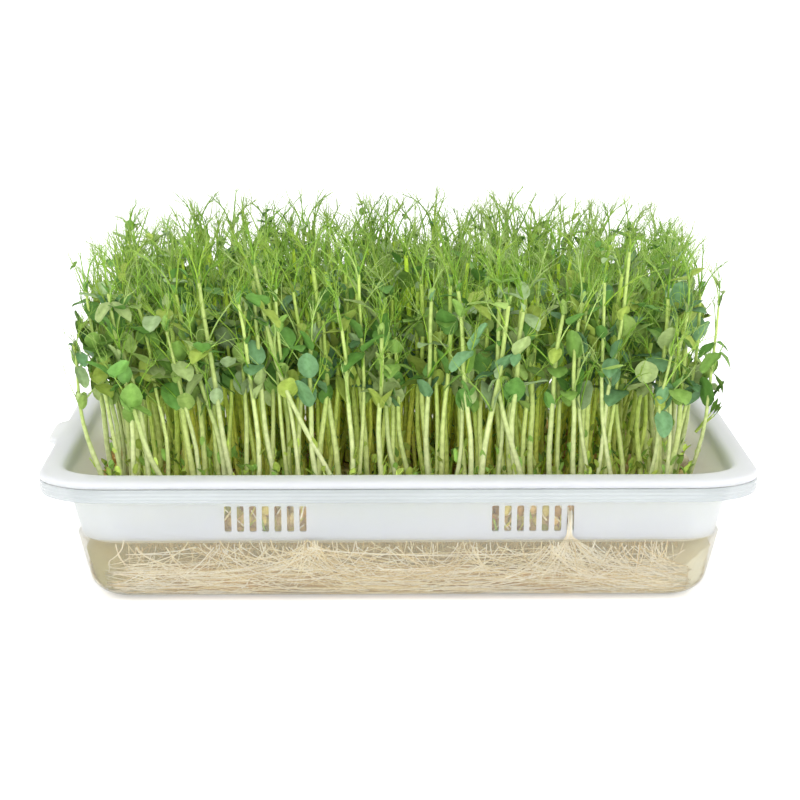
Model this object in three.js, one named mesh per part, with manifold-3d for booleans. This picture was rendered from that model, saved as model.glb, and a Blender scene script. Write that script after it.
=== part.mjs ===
// A hydroponic tray of pea shoots: a clear water tray, a white basket that nests in it, the
// water, the roots in the water, the bed of sprouted peas on the basket's slotted floor, and
// the shoots, one tuft for each cell of the bed.
// Millimetres, +Z up. The origin is the centre of the clear tray's flat foot, +X runs along
// the tray to its right end, and -Y is the side that the vents are seen from.
import * as THREE from "three";
import { mergeVertices } from "three/addons/utils/BufferGeometryUtils.js";
import Module from "manifold-3d";

// Tray sizes
const RIM_X = 170; // half the rim's length
const RIM_Y = 125; // half the rim's width
const RIM_TOP = 64.8;
const DRAFT = 0.2493; // how far a wall leans out for each millimetre up, 14 degrees
const DRAFT_ANGLE = Math.atan(DRAFT);
const WALL = 1.4; // clear tray
const BASKET_WALL = 1.6;
const NEST_GAP = 1.25; // between the two trays' walls
const CONTACT_GAP = 0.3; // where two pieces touch
const FOOT_EDGE = 14; // radius of the clear tray's lower edge
const BASKET_EDGE = 5; // and of the basket's
const BASKET_FLOOR = 29; // its underside
const RIM_OUT = 24.5; // how far the rim stands out from the foot's outline
const FOOT_RADIUS = 16; // corner of the foot's outline, seen from above
const RADIUS_GROWTH = 0.65; // how much a corner's radius grows for each millimetre outward
const TAB_OUT = 5; // the lifting tab on the basket's left end
const TAB_HALF = 24;
const TAB_FLAT = 0.6; // the share of the tab's length that stands fully out
const FLANGE_TOP = 59.7; // the clear tray's flange, and the lower end of its lip
const LIP_BOTTOM = 53.2;

// Vents in the long walls and slots in the floor
const SLOT_WIDTH = 3.3;
const VENT_PITCH = 5.87;
const VENTS = 7;
const VENT_GROUP_X = 62.8;
const VENT_LOW = 35.4;
const VENT_HIGH = 48.6;
const FLOOR_SLOT_LENGTH = 52;
const FLOOR_SLOT_PITCH = 20;
const FLOOR_SLOTS = 13;
const FLOOR_SLOT_ROWS = [-62, 0, 62];
const LAST_VENT_X = VENT_GROUP_X + ((VENTS - 1) / 2) * VENT_PITCH;

// Water, roots and seed bed
const WATER_TOP = 28.4;
const WATER_SHELL = 2.5; // water between the root mat and the tray
const NOTCH_SIZE = [28, 14, 12]; // for the roots that come down from the vent
const MAT_TOP = 17;
const MAT_CLEAR = 2.5; // between the mat and its pocket
const STRANDS = 20;
const STRAND_RADII = [0.9, 0.8, 0.8, 0.6];
const TUFT_RADII = [3.4, 1.2, 1.1];
const TUFT_DRIFT = 18;
const VENT_ROOTS = 6;
const VENT_ROOT_SPACING = 7; // where they end
const BED_TOP = 46.5;
const BED_CLEAR = 0.5; // between the bed and the basket's walls
const BED_BLOCK = [330, 240, 30];
const BED_STEPS = [17, 11];
const SEED_BUMP = 2.2;

// Shoots: rows of cells, each with one tuft on a crown of its own
const CELL_COLUMNS = 8; // and one more in every other row
const CELL_ROWS = 5;
const STAND_X = 144; // half the length of the stand of shoots, at the bed
const STAND_Y = 99;
const SPREAD_X = 0.00085; // how much the stand widens for each millimetre up
const SPREAD_Y = 0.00075;
const SWAY = 4;
const END_DIP = 0.1; // how much shorter the shoots at the tray's ends are
const CELL_MARGIN = 0.5; // what stays clear inside a cell's border
const CROWN_RADIUS = 7.2;
const CROWN_DEPTH = 5;
const CROWN_DRIFT = 3;
const FOOT_SPACING = 3.3; // from a crown's centre to its stems
const STEM_SUNK = 2;
const STEM_RADIUS = 1.5;
const TIP_RADIUS = 0.9;
const STEM_BOW = 2;
const SHOOT_LOW = 95; // stem heights above the bed
const SHOOT_HIGH = 114;
const LOW_NODE = 0.5; // where the leaves stand, as shares of a stem's height
const HIGH_NODE = 0.77;
const TOP_NODE = 0.96;
const NODE_SHIFT = 0.08; // how far chance moves the two lower nodes
const NODE_HEIGHT = 0.024;
const HEAD_SHARE = 0.48; // how far out in its cell a stem's top stands
const LEAN = 0.2; // how far a leaf or tendril turns from its way, by chance
const SPLAY = 0.2; // how far the two leaves of a pair turn away from each other
const LOW_LEAF = [16, 5]; // shortest length, and what chance adds to it
const HIGH_LEAF = [14, 5];
const STALK = [24, 4];
const TOP_TENDRIL = [22, 6];
const STEM_TIP = [16, 8];
const LEAF_RISE = [0.6, 0.4];
const STALK_RISE = [0.9, 0.2];
const TENDRIL_RISE = [0.75, 0.3];
const TENDRIL_BEND = 0.25;
const BLADE_THICKNESS = 1.2;
const BLADE_SHAPE = 0.64; // width for each millimetre of length
const BLADE_CUP = 4;
const TENDRIL_RADIUS = 0.7;

const wasm = await Module();
wasm.setup();

// Repeatable random numbers from 0 to 1
function randomFrom(seed) {
  let state = (seed * 7919 + 12345) % 4294967296;
  return () => {
    state = (state * 1664525 + 1013904223) % 4294967296;
    return state / 4294967296;
  };
}

// Solids from three.js geometry, and back
function solidOf(geometry) {
  const bare = geometry.clone();
  bare.deleteAttribute("normal");
  bare.deleteAttribute("uv");
  const merged = mergeVertices(bare, 1e-4);
  return new wasm.Manifold(
    new wasm.Mesh({
      numProp: 3,
      vertProperties: new Float32Array(merged.attributes.position.array),
      triVerts: new Uint32Array(merged.index.array),
    }),
  );
}

function geometryOf(solid) {
  const mesh = solid.getMesh();
  const positions = new Float32Array(mesh.numVert * 3);
  for (let i = 0; i < mesh.numVert; i++) {
    positions.set(mesh.vertProperties.subarray(i * mesh.numProp, i * mesh.numProp + 3), i * 3);
  }
  const geometry = new THREE.BufferGeometry();
  geometry.setAttribute("position", new THREE.BufferAttribute(positions, 3));
  geometry.setIndex(new THREE.BufferAttribute(mesh.triVerts, 1));
  geometry.computeVertexNormals();
  return geometry;
}

function joined(geometries) {
  return geometries.map(solidOf).reduce((whole, piece) => whole.add(piece));
}

function indexed(positions, index) {
  const geometry = new THREE.BufferGeometry();
  geometry.setAttribute("position", new THREE.Float32BufferAttribute(positions, 3));
  geometry.setIndex(index);
  return geometry;
}

// A closed skin through rings of points, each ring counter-clockwise seen along the way
// that the rings advance, with both ends closed to their centres
function loft(rings) {
  const count = rings[0].length;
  const positions = rings.flat().flatMap((p) => [p.x, p.y, p.z]);
  const index = [];
  for (let i = 0; i + 1 < rings.length; i++) {
    for (let j = 0; j < count; j++) {
      const a = i * count + j;
      const b = i * count + ((j + 1) % count);
      index.push(a, b, b + count, a, b + count, a + count);
    }
  }
  const last = (rings.length - 1) * count;
  if (count === 3) {
    index.push(2, 1, 0, last, last + 1, last + 2);
    return indexed(positions, index);
  }
  for (const [ring, first] of [[rings[0], 0], [rings.at(-1), last]]) {
    const centre = ring.reduce((sum, p) => sum.add(p), new THREE.Vector3()).divideScalar(count);
    const middle = positions.push(centre.x, centre.y, centre.z) / 3 - 1;
    for (let j = 0; j < count; j++) {
      const a = first + j;
      const b = first + ((j + 1) % count);
      index.push(...(first === 0 ? [middle, b, a] : [a, b, middle]));
    }
  }
  return indexed(positions, index);
}

// A tube or spike along points, with a radius for each of them
function tube(points, radii, sides, start = 0) {
  const rings = points.map((p, i) => {
    const before = points[Math.max(i - 1, 0)];
    const after = points[Math.min(i + 1, points.length - 1)];
    const along = new THREE.Vector3().subVectors(after, before).normalize();
    const aside = Math.abs(along.z) > 0.6 ? new THREE.Vector3(1, 0, 0) : new THREE.Vector3(0, 0, 1);
    const u = aside.cross(along).normalize();
    const v = new THREE.Vector3().crossVectors(along, u);
    return Array.from({ length: sides }, (_, k) => {
      const turn = start + (2 * Math.PI * k) / sides;
      return p
        .clone()
        .addScaledVector(u, radii[i] * Math.cos(turn))
        .addScaledVector(v, radii[i] * Math.sin(turn));
    });
  });
  return loft(rings);
}

// Tray outlines: a rounded rectangle that stands out from the foot's outline by out
const CORNER_STEPS = 4;

function outline(out, z, tab = 0) {
  const halfX = RIM_X - RIM_OUT + out;
  const halfY = RIM_Y - RIM_OUT + out;
  const radius = FOOT_RADIUS + RADIUS_GROWTH * out;
  const ring = [];
  const corners = [[1, 1], [-1, 1], [-1, -1], [1, -1]];
  corners.forEach(([sx, sy], corner) => {
    for (let k = 0; k <= CORNER_STEPS; k++) {
      const turn = (Math.PI / 2) * (corner + k / CORNER_STEPS);
      ring.push(
        new THREE.Vector3(
          sx * (halfX - radius) + radius * Math.cos(turn),
          sy * (halfY - radius) + radius * Math.sin(turn),
          z,
        ),
      );
    }
    if (corner === 1) {
      for (const [share, rise] of [[1, 0], [TAB_FLAT, 1], [-TAB_FLAT, 1], [-1, 0]]) {
        ring.push(new THREE.Vector3(-halfX - tab * rise, share * TAB_HALF, z));
      }
    }
  });
  return ring;
}

// How far a wall stands out at a height, inset from the clear tray's outer face
const wallOut = (z, inset) => z * DRAFT - inset;

// The rounded lower edge of a shell: rings from its flat bottom up to its leaning wall
function lowerEdge(inset, centreZ, radius, steps, shrink = 0) {
  const centreOut = wallOut(centreZ, inset) - radius / Math.cos(DRAFT_ANGLE);
  return Array.from({ length: steps + 1 }, (_, k) => {
    const turn = -Math.PI / 2 + (k / steps) * (Math.PI / 2 - DRAFT_ANGLE);
    const r = radius - shrink;
    return [centreOut + r * Math.cos(turn), centreZ + r * Math.sin(turn)];
  });
}

const shell = (profile) => loft(profile.map(([out, z, tab]) => outline(out, z, tab)));

// Clear water tray: foot, wall, and a flange with a down-turned lip
function outerTray() {
  return solidOf(
    shell([
      ...lowerEdge(0, FOOT_EDGE, FOOT_EDGE, 3),
      [wallOut(52.7, 0), 52.7],
      [14.8, 57.5],
      [22.4, 58],
      [22.5, LIP_BOTTOM],
      [23.9, LIP_BOTTOM],
      [24.3, FLANGE_TOP - 0.5],
      [23.8, FLANGE_TOP],
      [14.4, FLANGE_TOP],
      [wallOut(57.6, WALL), 57.6],
      ...lowerEdge(0, FOOT_EDGE, FOOT_EDGE, 3, WALL).reverse(),
    ]),
  );
}

// White basket: slotted floor, vented walls, rolled rim and a lifting tab
const BASKET_INSET = WALL + NEST_GAP;

function basket() {
  const edgeZ = BASKET_FLOOR + BASKET_EDGE;
  let body = solidOf(
    shell([
      ...lowerEdge(BASKET_INSET, edgeZ, BASKET_EDGE, 2),
      [wallOut(58.6, BASKET_INSET), 58.6, 0],
      [13.8, 60, 0],
      [14.6, 62.8, 0],
      [22.6, 62.2, TAB_OUT],
      [22.8, 60, TAB_OUT],
      [24.2, 60, TAB_OUT],
      [RIM_OUT, 61.8, TAB_OUT],
      [23.2, 63.9, TAB_OUT],
      [19.2, RIM_TOP, 0.6 * TAB_OUT],
      [13.6, 64.4, 0],
      [wallOut(61.4, BASKET_INSET + BASKET_WALL), 61.4, 0],
      ...lowerEdge(BASKET_INSET, edgeZ, BASKET_EDGE, 2, BASKET_WALL).reverse(),
    ]),
  );
  for (const side of [-1, 1]) {
    for (const group of [-VENT_GROUP_X, VENT_GROUP_X]) {
      for (let k = 0; k < VENTS; k++) {
        const vent = new THREE.BoxGeometry(SLOT_WIDTH, 30, VENT_HIGH - VENT_LOW);
        vent.translate(
          group + (k - (VENTS - 1) / 2) * VENT_PITCH,
          side * (RIM_Y - 19),
          (VENT_HIGH + VENT_LOW) / 2,
        );
        body = body.subtract(solidOf(vent));
      }
    }
  }
  for (const row of FLOOR_SLOT_ROWS) {
    for (let k = 0; k < FLOOR_SLOTS; k++) {
      const slot = new THREE.BoxGeometry(SLOT_WIDTH, FLOOR_SLOT_LENGTH, 6);
      slot.translate(floorSlotX(k), row, BASKET_FLOOR + 0.8);
      body = body.subtract(solidOf(slot));
    }
  }
  return body;
}

function floorSlotX(k) {
  return (k - (FLOOR_SLOTS - 1) / 2) * FLOOR_SLOT_PITCH;
}

// Water up to the basket's floor, with a plain pocket for the root mat and a notch for the
// roots that come down from the vent
function water() {
  const inset = WALL + CONTACT_GAP;
  const pocketTop = wallOut(WATER_TOP, inset + WATER_SHELL);
  const body = solidOf(
    shell([
      ...lowerEdge(0, FOOT_EDGE, FOOT_EDGE, 3, inset),
      [wallOut(WATER_TOP, inset), WATER_TOP],
      [pocketTop, WATER_TOP],
      ...lowerEdge(0, FOOT_EDGE, FOOT_EDGE, 3, inset + WATER_SHELL).reverse(),
    ]),
  );
  const notch = new THREE.BoxGeometry(...NOTCH_SIZE);
  notch.translate(LAST_VENT_X, RIM_OUT - RIM_Y - 3, WATER_TOP - 4);
  return body.subtract(solidOf(notch));
}

// Root mat: a tangle on the pocket's floor, strands that arch out of it, tufts that climb
// through the basket's floor slots, and one bundle that has grown out through a vent
const MAT_INSET = WALL + CONTACT_GAP + WATER_SHELL + MAT_CLEAR;

function rootMat() {
  const draw = randomFrom(41);
  const pieces = [];
  const lower = lowerEdge(0, FOOT_EDGE, FOOT_EDGE, 2, MAT_INSET);
  const bottom = WALL + 2 * CONTACT_GAP + WATER_SHELL;
  const top = [wallOut(MAT_TOP, MAT_INSET + 1), MAT_TOP];
  const rings = [[lower[0][0], bottom], ...lower.slice(1), top];
  const body = rings.map(([out, z], level) =>
    outline(out, z).map((p, k) => {
      const wave = level ? 0.985 + 0.015 * Math.sin(5 * k + 2 * level) : 0.98;
      const rise = level === 3 ? Math.sin(3 * k) : 0;
      return new THREE.Vector3(p.x * wave, p.y * wave, p.z + rise);
    }),
  );
  pieces.push(loft(body));

  const reachX = RIM_X - RIM_OUT - 7;
  const reachY = RIM_Y - RIM_OUT - 7;
  for (let k = 0; k < STRANDS; k++) {
    const long = k % 3 > 0;
    const side = draw() < 0.5 ? -1 : 1;
    const span = 14 + 16 * draw();
    const along = (draw() * 2 - 1) * ((long ? reachX : reachY) - FOOT_RADIUS - span);
    const height = 8 + 10 * draw();
    const inward = 8 + 8 * draw();
    const route = [0, 0.34, 0.67, 1].map((t) => {
      const out = Math.sin(Math.PI * t);
      const a = along + (t - 0.5) * 2 * span;
      const b = side * ((long ? reachY : reachX) - inward * (1 - out));
      return new THREE.Vector3(long ? a : b, long ? b : a, height - 3 * t + 3 * out);
    });
    pieces.push(tube(route, STRAND_RADII, 3));
  }

  for (const row of FLOOR_SLOT_ROWS) {
    for (let k = 0; k < FLOOR_SLOTS; k += 2) {
      const y = row + (draw() * 2 - 1) * TUFT_DRIFT;
      const x = floorSlotX(k);
      const lean = (draw() * 2 - 1) * 6;
      const route = [
        new THREE.Vector3(x + lean, y, MAT_TOP - 3),
        new THREE.Vector3(x, y, BASKET_FLOOR - 2.5),
        new THREE.Vector3(x, y, BASKET_FLOOR + BASKET_WALL),
      ];
      pieces.push(tube(route, TUFT_RADII, 4));
    }
  }

  const gapOut = wallOut(0, WALL + NEST_GAP * 0.52);
  const gapY = (z) => -(RIM_Y - RIM_OUT + gapOut + z * DRAFT);
  for (let k = 0; k < VENT_ROOTS; k++) {
    const fan = (k - (VENT_ROOTS - 1) / 2) * VENT_ROOT_SPACING;
    const route = [44 - k, 36, 27, 12].map((z, i) => {
      const sink = [1.5, 0, 0.6, 9][i];
      return new THREE.Vector3(LAST_VENT_X + (fan * [0, 0.06, 0.35, 1][i]), gapY(z) + sink, z);
    });
    pieces.push(tube(route, [0.5, 0.5, 0.6, 0.8], 4, Math.PI / 4));
  }
  return joined(pieces);
}

// Seed bed: a mat of sprouted peas, in relief, with a plain hole for each tuft's crown
function seedBed() {
  const [sizeX, sizeY, sizeZ] = BED_BLOCK;
  const [stepsX, stepsY] = BED_STEPS;
  const block = new THREE.BoxGeometry(sizeX, sizeY, sizeZ, stepsX, stepsY, 1);
  const centreZ = BED_TOP - sizeZ / 2;
  block.translate(0, 0, centreZ);
  const at = block.attributes.position;
  for (let i = 0; i < at.count; i++) {
    if (at.getZ(i) > centreZ) {
      const column = Math.round((at.getX(i) / sizeX + 0.5) * stepsX);
      const row = Math.round((at.getY(i) / sizeY + 0.5) * stepsY);
      const odd = (column + row) % 2 ? 1 : -1;
      const wave = 0.5 * Math.sin(2.3 * column + 1.7 * row);
      at.setZ(i, BED_TOP + (odd * SEED_BUMP) / 2 + wave);
    }
  }
  const inset = BASKET_INSET + BASKET_WALL + BED_CLEAR;
  const edgeZ = BASKET_FLOOR + BASKET_EDGE;
  const inside = shell([
    ...lowerEdge(BASKET_INSET, edgeZ, BASKET_EDGE, 2, BASKET_WALL + CONTACT_GAP),
    [wallOut(BED_TOP + 6, inset), BED_TOP + 6],
  ]);
  let bed = solidOf(block).intersect(solidOf(inside));
  for (const cell of cells()) {
    const hole = prism(CROWN_RADIUS + CONTACT_GAP, CROWN_DEPTH * 2);
    hole.translate(cell.crown.x, cell.crown.y, BED_TOP - CROWN_DEPTH - CONTACT_GAP);
    bed = bed.subtract(solidOf(hole));
  }
  return bed;
}

function prism(radius, height) {
  const geometry = new THREE.CylinderGeometry(radius, radius, height, 4);
  geometry.rotateX(Math.PI / 2);
  geometry.translate(0, 0, height / 2);
  return geometry;
}

// The cells of the stand, in the flat coordinates that spread() maps to the leaning stand
function cells() {
  const found = [];
  for (let row = 0; row < CELL_ROWS; row++) {
    const columns = CELL_COLUMNS + (row % 2);
    const halfX = STAND_X / columns;
    const halfY = STAND_Y / CELL_ROWS;
    for (let column = 0; column < columns; column++) {
      const x = (2 * column + 1) * halfX - STAND_X;
      const y = (2 * row + 1) * halfY - STAND_Y;
      const number = found.length + 1;
      const draw = randomFrom(number);
      const turn = 2 * Math.PI * draw();
      const drift = () => (draw() * 2 - 1) * CROWN_DRIFT;
      const crown = new THREE.Vector3(x + drift(), y + drift(), 0);
      found.push({ number, x, y, halfX, halfY, turn, crown });
    }
  }
  return found;
}

// The stand leans out and sways as it rises; two cells never meet, because the map is one
// to one
function spread(p) {
  const up = Math.max(p.z - BED_TOP, 0);
  const sway = SWAY * (up / 120) ** 2 * Math.sin(p.y / 34);
  return new THREE.Vector3(p.x * (1 + SPREAD_X * up) + sway, p.y * (1 + SPREAD_Y * up), p.z);
}

// A growing skin: points, and triangles that face out
class Skin {
  points = [];
  faces = [];

  add(point) {
    return this.points.push(point) - 1;
  }

  strip(ring, next) {
    ring.forEach((a, k) => {
      const b = (k + 1) % ring.length;
      this.faces.push([a, ring[b], next[b]], [a, next[b], next[k]]);
    });
  }

  spike(ring, tip) {
    ring.forEach((a, k) => this.faces.push([a, ring[(k + 1) % ring.length], tip]));
  }

  geometry() {
    return indexed(this.points.flatMap((p) => p.toArray()), this.faces.flat());
  }
}

// The unit vector at an azimuth and a rise
function heading(azimuth, rise) {
  const level = Math.cos(rise);
  return new THREE.Vector3(level * Math.cos(azimuth), level * Math.sin(azimuth), Math.sin(rise));
}

// The largest share of a set of points' reach from a root that stays inside a shoot's room,
// which is a list of walls: the way each one faces, and how far it lets a point go that way
function shareInside(room, root, points) {
  let share = 1;
  for (const { way, limit } of room) {
    for (const p of points) {
      const reach = way.dot(p.clone().sub(root));
      if (reach > 0) {
        share = Math.min(share, (limit - way.dot(root)) / reach);
      }
    }
  }
  return share;
}

// A shoot's room: its half of its cell
function roomOf(cell, turn) {
  const wall = (azimuth, distance) => {
    const way = heading(azimuth, 0);
    return { way, limit: way.x * cell.x + way.y * cell.y + distance - CELL_MARGIN };
  };
  return [
    wall(0, cell.halfX),
    wall(Math.PI / 2, cell.halfY),
    wall(Math.PI, cell.halfX),
    wall(-Math.PI / 2, cell.halfY),
    wall(turn + Math.PI, 0),
  ];
}

// A leaf blade, in place of one quad of the stem: an oval outline with a raised middle on
// each side. Outline points are [share of the length, share of the width].
const OVAL = [[0.34, 0.45], [0.74, 0.38]];
const KITE = [[0.5, 0.5]];

function growBlade(skin, quad, room, azimuth, rise, length, form) {
  const [lowLeft, lowRight, upRight, upLeft] = quad;
  const root = new THREE.Vector3();
  quad.forEach((k) => root.addScaledVector(skin.points[k], 0.25));
  const along = heading(azimuth, rise);
  const across = new THREE.Vector3(-Math.sin(azimuth), Math.cos(azimuth), 0);
  const up = new THREE.Vector3().crossVectors(along, across);
  const width = BLADE_SHAPE * length;
  const at = (u, v, w) =>
    new THREE.Vector3()
      .addScaledVector(along, u * length)
      .addScaledVector(across, v * width)
      .addScaledVector(up, w + BLADE_CUP * Math.abs(v))
      .add(root);
  const edge = (side) => form.map(([u, v]) => at(u, side * v, 0));
  const tip = at(1, 0, 0);
  const share = shareInside(room, root, [tip, ...edge(1), ...edge(-1)]);
  const add = (p) => skin.add(p.sub(root).multiplyScalar(share).add(root));
  const right = edge(1).map(add);
  const left = edge(-1).map(add);
  const end = add(tip);
  const top = skin.add(at(0.5 * share, 0, BLADE_THICKNESS / 2));
  const under = skin.add(at(0.5 * share, 0, -BLADE_THICKNESS / 2));
  const above = [end, ...right.toReversed(), upRight, upLeft, ...left];
  const below = [end, ...left.toReversed(), lowLeft, lowRight, ...right];
  skin.spike(above, top);
  skin.spike(below, under);
  skin.faces.push([upLeft, lowLeft, left[0]], [lowRight, upRight, right[0]]);
}

// A tendril or leaf stalk, in place of one quad of the stem: a slim spike, bent over or straight
function growTendril(skin, quad, room, azimuth, rise, length, bend) {
  const [lowLeft, lowRight, upRight, upLeft] = quad;
  const base = [lowLeft, lowRight, upRight];
  const root = skin.points[lowRight].clone();
  const elbow = root.clone().addScaledVector(heading(azimuth, rise + bend), length / 2);
  const tip = elbow.clone().addScaledVector(heading(azimuth, rise - bend), length / 2);
  const share = shareInside(room, root, [elbow, tip]);
  const drawn = (p) => {
    p.sub(root);
    p.x *= share;
    p.y *= share;
    return p.add(root);
  };
  skin.faces.push([lowLeft, upRight, upLeft]);
  let ring = base;
  if (bend) {
    ring = elbowRing(skin, base, drawn(elbow));
    skin.strip(base, ring);
  }
  skin.spike(ring, skin.add(drawn(tip)));
}

// A small copy of a ring of three, round a new centre
function elbowRing(skin, ring, centre) {
  const middle = new THREE.Vector3();
  ring.forEach((k) => middle.addScaledVector(skin.points[k], 1 / 3));
  return ring.map((k) => {
    const offset = skin.points[k].clone().sub(middle).setLength(TENDRIL_RADIUS);
    return skin.add(offset.add(centre));
  });
}

// One shoot in flat coordinates: a three-sided stem that leaves the crown, straightens and
// bows a little, with two nodes of paired leaf blades and a tendril, and a top of tendrils
function shoot(cell, k) {
  const draw = randomFrom(10 * cell.number + k);
  const turn = cell.turn + Math.PI * k;
  const room = roomOf(cell, turn);
  const foot = cell.crown.clone().add(heading(turn, 0).multiplyScalar(FOOT_SPACING));
  const head = new THREE.Vector3(
    cell.x + HEAD_SHARE * cell.halfX * Math.cos(turn),
    cell.y + HEAD_SHARE * cell.halfY * Math.sin(turn),
    0,
  );
  const endDip = 1 - END_DIP * Math.abs(cell.x / STAND_X) ** 3;
  const height = (SHOOT_LOW + (SHOOT_HIGH - SHOOT_LOW) * draw()) * endDip;
  const bow = (draw() * 2 - 1) * STEM_BOW;
  const lowNode = LOW_NODE + (draw() * 2 - 1) * NODE_SHIFT;
  const highNode = HIGH_NODE + (draw() * 2 - 1) * NODE_SHIFT;
  const centre = (t) => {
    const eased = 1.5 * t - 0.5 * t * t;
    const p = foot.clone().lerp(head, eased);
    p.x += bow * Math.sin(Math.PI * t);
    p.z = BED_TOP - STEM_SUNK + (height + STEM_SUNK) * t;
    return p;
  };
  const skin = new Skin();
  const inward = turn + Math.PI;
  const ring = (t, start) => {
    const radius = THREE.MathUtils.lerp(STEM_RADIUS, TIP_RADIUS, t);
    return [0, 1, 2].map((side) => {
      const spoke = heading(start + (2 * Math.PI * side) / 3, 0);
      return skin.add(centre(t).addScaledVector(spoke, radius));
    });
  };
  const low = inward - (2 * Math.PI) / 3;
  const high = inward - Math.PI;
  const rings = [
    ring(0, low),
    ...[0, NODE_HEIGHT].map((d) => ring(lowNode + d, low)),
    ...[0, NODE_HEIGHT].map((d) => ring(highNode + d, high)),
    ...[0, NODE_HEIGHT].map((d) => ring(TOP_NODE + d, high)),
  ];
  skin.faces.push(rings[0].toReversed());
  for (const i of [0, 2, 4]) {
    skin.strip(rings[i], rings[i + 1]);
  }
  const quads = (i) => {
    const [a, b] = [rings[i], rings[i + 1]];
    return [0, 1, 2].map((side) => [a[side], a[(side + 1) % 3], b[(side + 1) % 3], b[side]]);
  };
  const third = (2 * Math.PI) / 3;
  const some = ([least, more]) => least + more * draw();
  const way = (turned) => inward + turned + (draw() * 2 - 1) * LEAN;
  const leaf = (quad, turned, length, form) =>
    growBlade(skin, quad, room, way(turned), some(LEAF_RISE), some(length), form);
  const stalk = (quad, turned) =>
    growTendril(skin, quad, room, way(turned), some(STALK_RISE), some(STALK), 0);
  const tendril = (quad, turned) =>
    growTendril(skin, quad, room, way(turned), some(TENDRIL_RISE), some(TOP_TENDRIL), TENDRIL_BEND);

  const [lowA, lowB, lowC] = quads(1);
  leaf(lowA, -third / 2 - SPLAY, LOW_LEAF, OVAL);
  leaf(lowB, third / 2 + SPLAY, LOW_LEAF, OVAL);
  stalk(lowC, Math.PI);
  const [highC, highA, highB] = quads(3);
  leaf(highB, third - SPLAY, HIGH_LEAF, KITE);
  leaf(highC, SPLAY - third, HIGH_LEAF, KITE);
  stalk(highA, 0);
  const [topC, topA, topB] = quads(5);
  tendril(topA, 0);
  tendril(topB, third);
  skin.faces.push([topC[0], topC[1], topC[2]], [topC[0], topC[2], topC[3]]);
  const end = centre(TOP_NODE + NODE_HEIGHT).addScaledVector(heading(way(-third), 1.25), some(STEM_TIP));
  skin.spike(rings.at(-1), skin.add(end));
  skin.points = skin.points.map(spread);
  return skin.geometry();
}

// A tuft: the crown, sunk in its hole in the bed, and the two shoots that stand on it
function tuft(cell) {
  const crown = prism(CROWN_RADIUS, CROWN_DEPTH);
  crown.translate(cell.crown.x, cell.crown.y, BED_TOP - CROWN_DEPTH);
  return joined([crown, shoot(cell, 0), shoot(cell, 1)]);
}

// The group
const clearPlastic = new THREE.MeshStandardMaterial({
  color: 0xdfe5e3, roughness: 0.12, metalness: 0, transparent: true, opacity: 0.3,
});
const whitePlastic = new THREE.MeshStandardMaterial({ color: 0xeff3f3, roughness: 0.35, metalness: 0 });
const waterLook = new THREE.MeshStandardMaterial({
  color: 0xc9c4a4, roughness: 0.05, metalness: 0, transparent: true, opacity: 0.4,
});
const rootLook = new THREE.MeshStandardMaterial({ color: 0xe0d2aa, roughness: 0.6, metalness: 0 });
const seedLook = new THREE.MeshStandardMaterial({ color: 0xa88a5c, roughness: 0.75, metalness: 0 });
const shootLook = new THREE.MeshStandardMaterial({ color: 0x86a851, roughness: 0.55, metalness: 0 });

const group = new THREE.Group();

function place(name, solid, material) {
  const mesh = new THREE.Mesh(geometryOf(solid), material);
  mesh.name = name;
  group.add(mesh);
}

place("outer_tray", outerTray(), clearPlastic);
place("basket", basket(), whitePlastic);
place("water", water(), waterLook);
place("root_mat", rootMat(), rootLook);
place("seed_bed", seedBed(), seedLook);
for (const cell of cells()) {
  place("shoots_" + String(cell.number).padStart(2, "0"), tuft(cell), shootLook);
}

export default group;
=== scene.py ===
# A hydroponic tray of pea shoots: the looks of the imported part. Sizes are in millimetres in
# the row's frame until a piece is made, which scales them to metres.
import math

import bpy
import bmesh
import numpy as np
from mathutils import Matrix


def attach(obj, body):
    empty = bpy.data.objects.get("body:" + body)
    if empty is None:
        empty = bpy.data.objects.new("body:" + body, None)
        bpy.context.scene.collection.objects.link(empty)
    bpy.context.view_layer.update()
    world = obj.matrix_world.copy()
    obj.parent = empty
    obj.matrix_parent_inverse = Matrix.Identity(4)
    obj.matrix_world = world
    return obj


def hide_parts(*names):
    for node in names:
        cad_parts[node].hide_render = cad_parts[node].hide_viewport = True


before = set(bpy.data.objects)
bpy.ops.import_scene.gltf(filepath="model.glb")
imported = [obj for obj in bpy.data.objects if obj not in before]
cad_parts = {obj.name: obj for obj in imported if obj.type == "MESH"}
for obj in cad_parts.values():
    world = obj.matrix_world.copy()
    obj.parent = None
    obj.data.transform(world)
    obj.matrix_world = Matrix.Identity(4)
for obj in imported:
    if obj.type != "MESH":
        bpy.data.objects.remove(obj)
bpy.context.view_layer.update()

# Sizes shared with the CAD part
RIM_X = 170
RIM_Y = 125
RIM_TOP = 64.8
DRAFT = 0.2493
DRAFT_ANGLE = math.atan(DRAFT)
WALL = 1.4
BASKET_WALL = 1.6
NEST_GAP = 1.25
FOOT_EDGE = 14
BASKET_EDGE = 5
BASKET_FLOOR = 29
RIM_OUT = 24.5
HALF_X = RIM_X - RIM_OUT
HALF_Y = RIM_Y - RIM_OUT
FOOT_RADIUS = 16
RADIUS_GROWTH = 0.65
TAB_OUT = 5
TAB_HALF = 24
SLOT_WIDTH = 3.3
VENT_PITCH = 5.87
VENTS = 7
VENT_GROUP_X = 62.8
VENT_GROUPS = [(side, x) for side in (-1, 1) for x in (-VENT_GROUP_X, VENT_GROUP_X)]
VENT_LOW = 35.4
VENT_HIGH = 48.6
FLOOR_SLOT_LENGTH = 52
FLOOR_SLOT_PITCH = 20
FLOOR_SLOTS = 13
FLOOR_SLOT_ROWS = (-62, 0, 62)
LAST_VENT_X = VENT_GROUP_X + (VENTS - 1) / 2 * VENT_PITCH
WATER_TOP = 28.4
MAT_TOP = 17
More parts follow.
